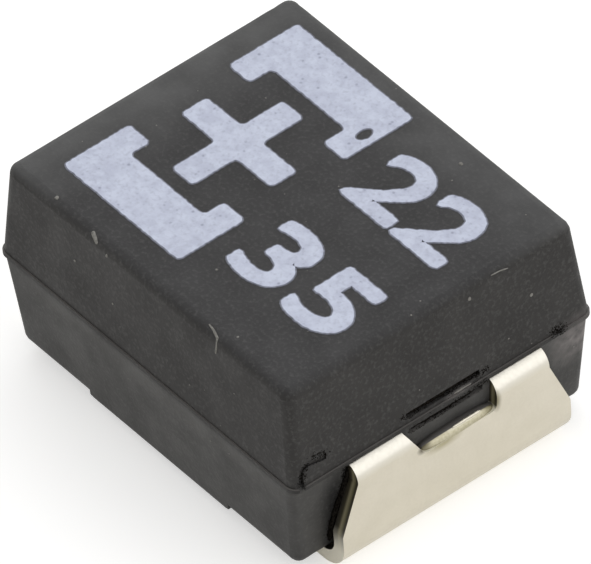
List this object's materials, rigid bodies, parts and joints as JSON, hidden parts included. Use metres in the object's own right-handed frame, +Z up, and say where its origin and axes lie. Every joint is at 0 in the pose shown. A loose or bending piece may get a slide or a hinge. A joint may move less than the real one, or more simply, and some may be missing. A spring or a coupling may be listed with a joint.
{
  "type": "tantalum capacitor",
  "caption": "Surface-mount moulded tantalum capacitor: dark resin block with a polarity mark on top and folded tin-plated terminals that wrap under both ends",
  "frame": {"origin": "middle of the seating plane, under the middle of the case", "axes": "+X along the case towards the negative terminal, +Y across the case towards the top of the printed numerals, +Z up from the circuit board"},
  "size_m": [0.0036, 0.0028, 0.0018],
  "materials": {
    "case": "matte moulded epoxy, fine spark-eroded grain",
    "cathode_terminal": "matte tin plate on stamped strip",
    "anode_terminal": "matte tin plate on stamped strip",
    "tantalum_pellet": "sintered powder",
    "tantalum_wire": "drawn wire",
    "wire_washer": "fluoropolymer",
    "cathode_coat": "dipped graphite and silver",
    "adhesive_pad": "silver-filled adhesive"
  },
  "bodies": {
    "root": {"case": "case", "cathode_terminal": "cathode_terminal", "anode_terminal": "anode_terminal", "tantalum_pellet": "tantalum_pellet", "tantalum_wire": "tantalum_wire", "wire_washer": "wire_washer", "cathode_coat": "cathode_coat", "adhesive_pad": "adhesive_pad"}
  },
  "joints": []
}
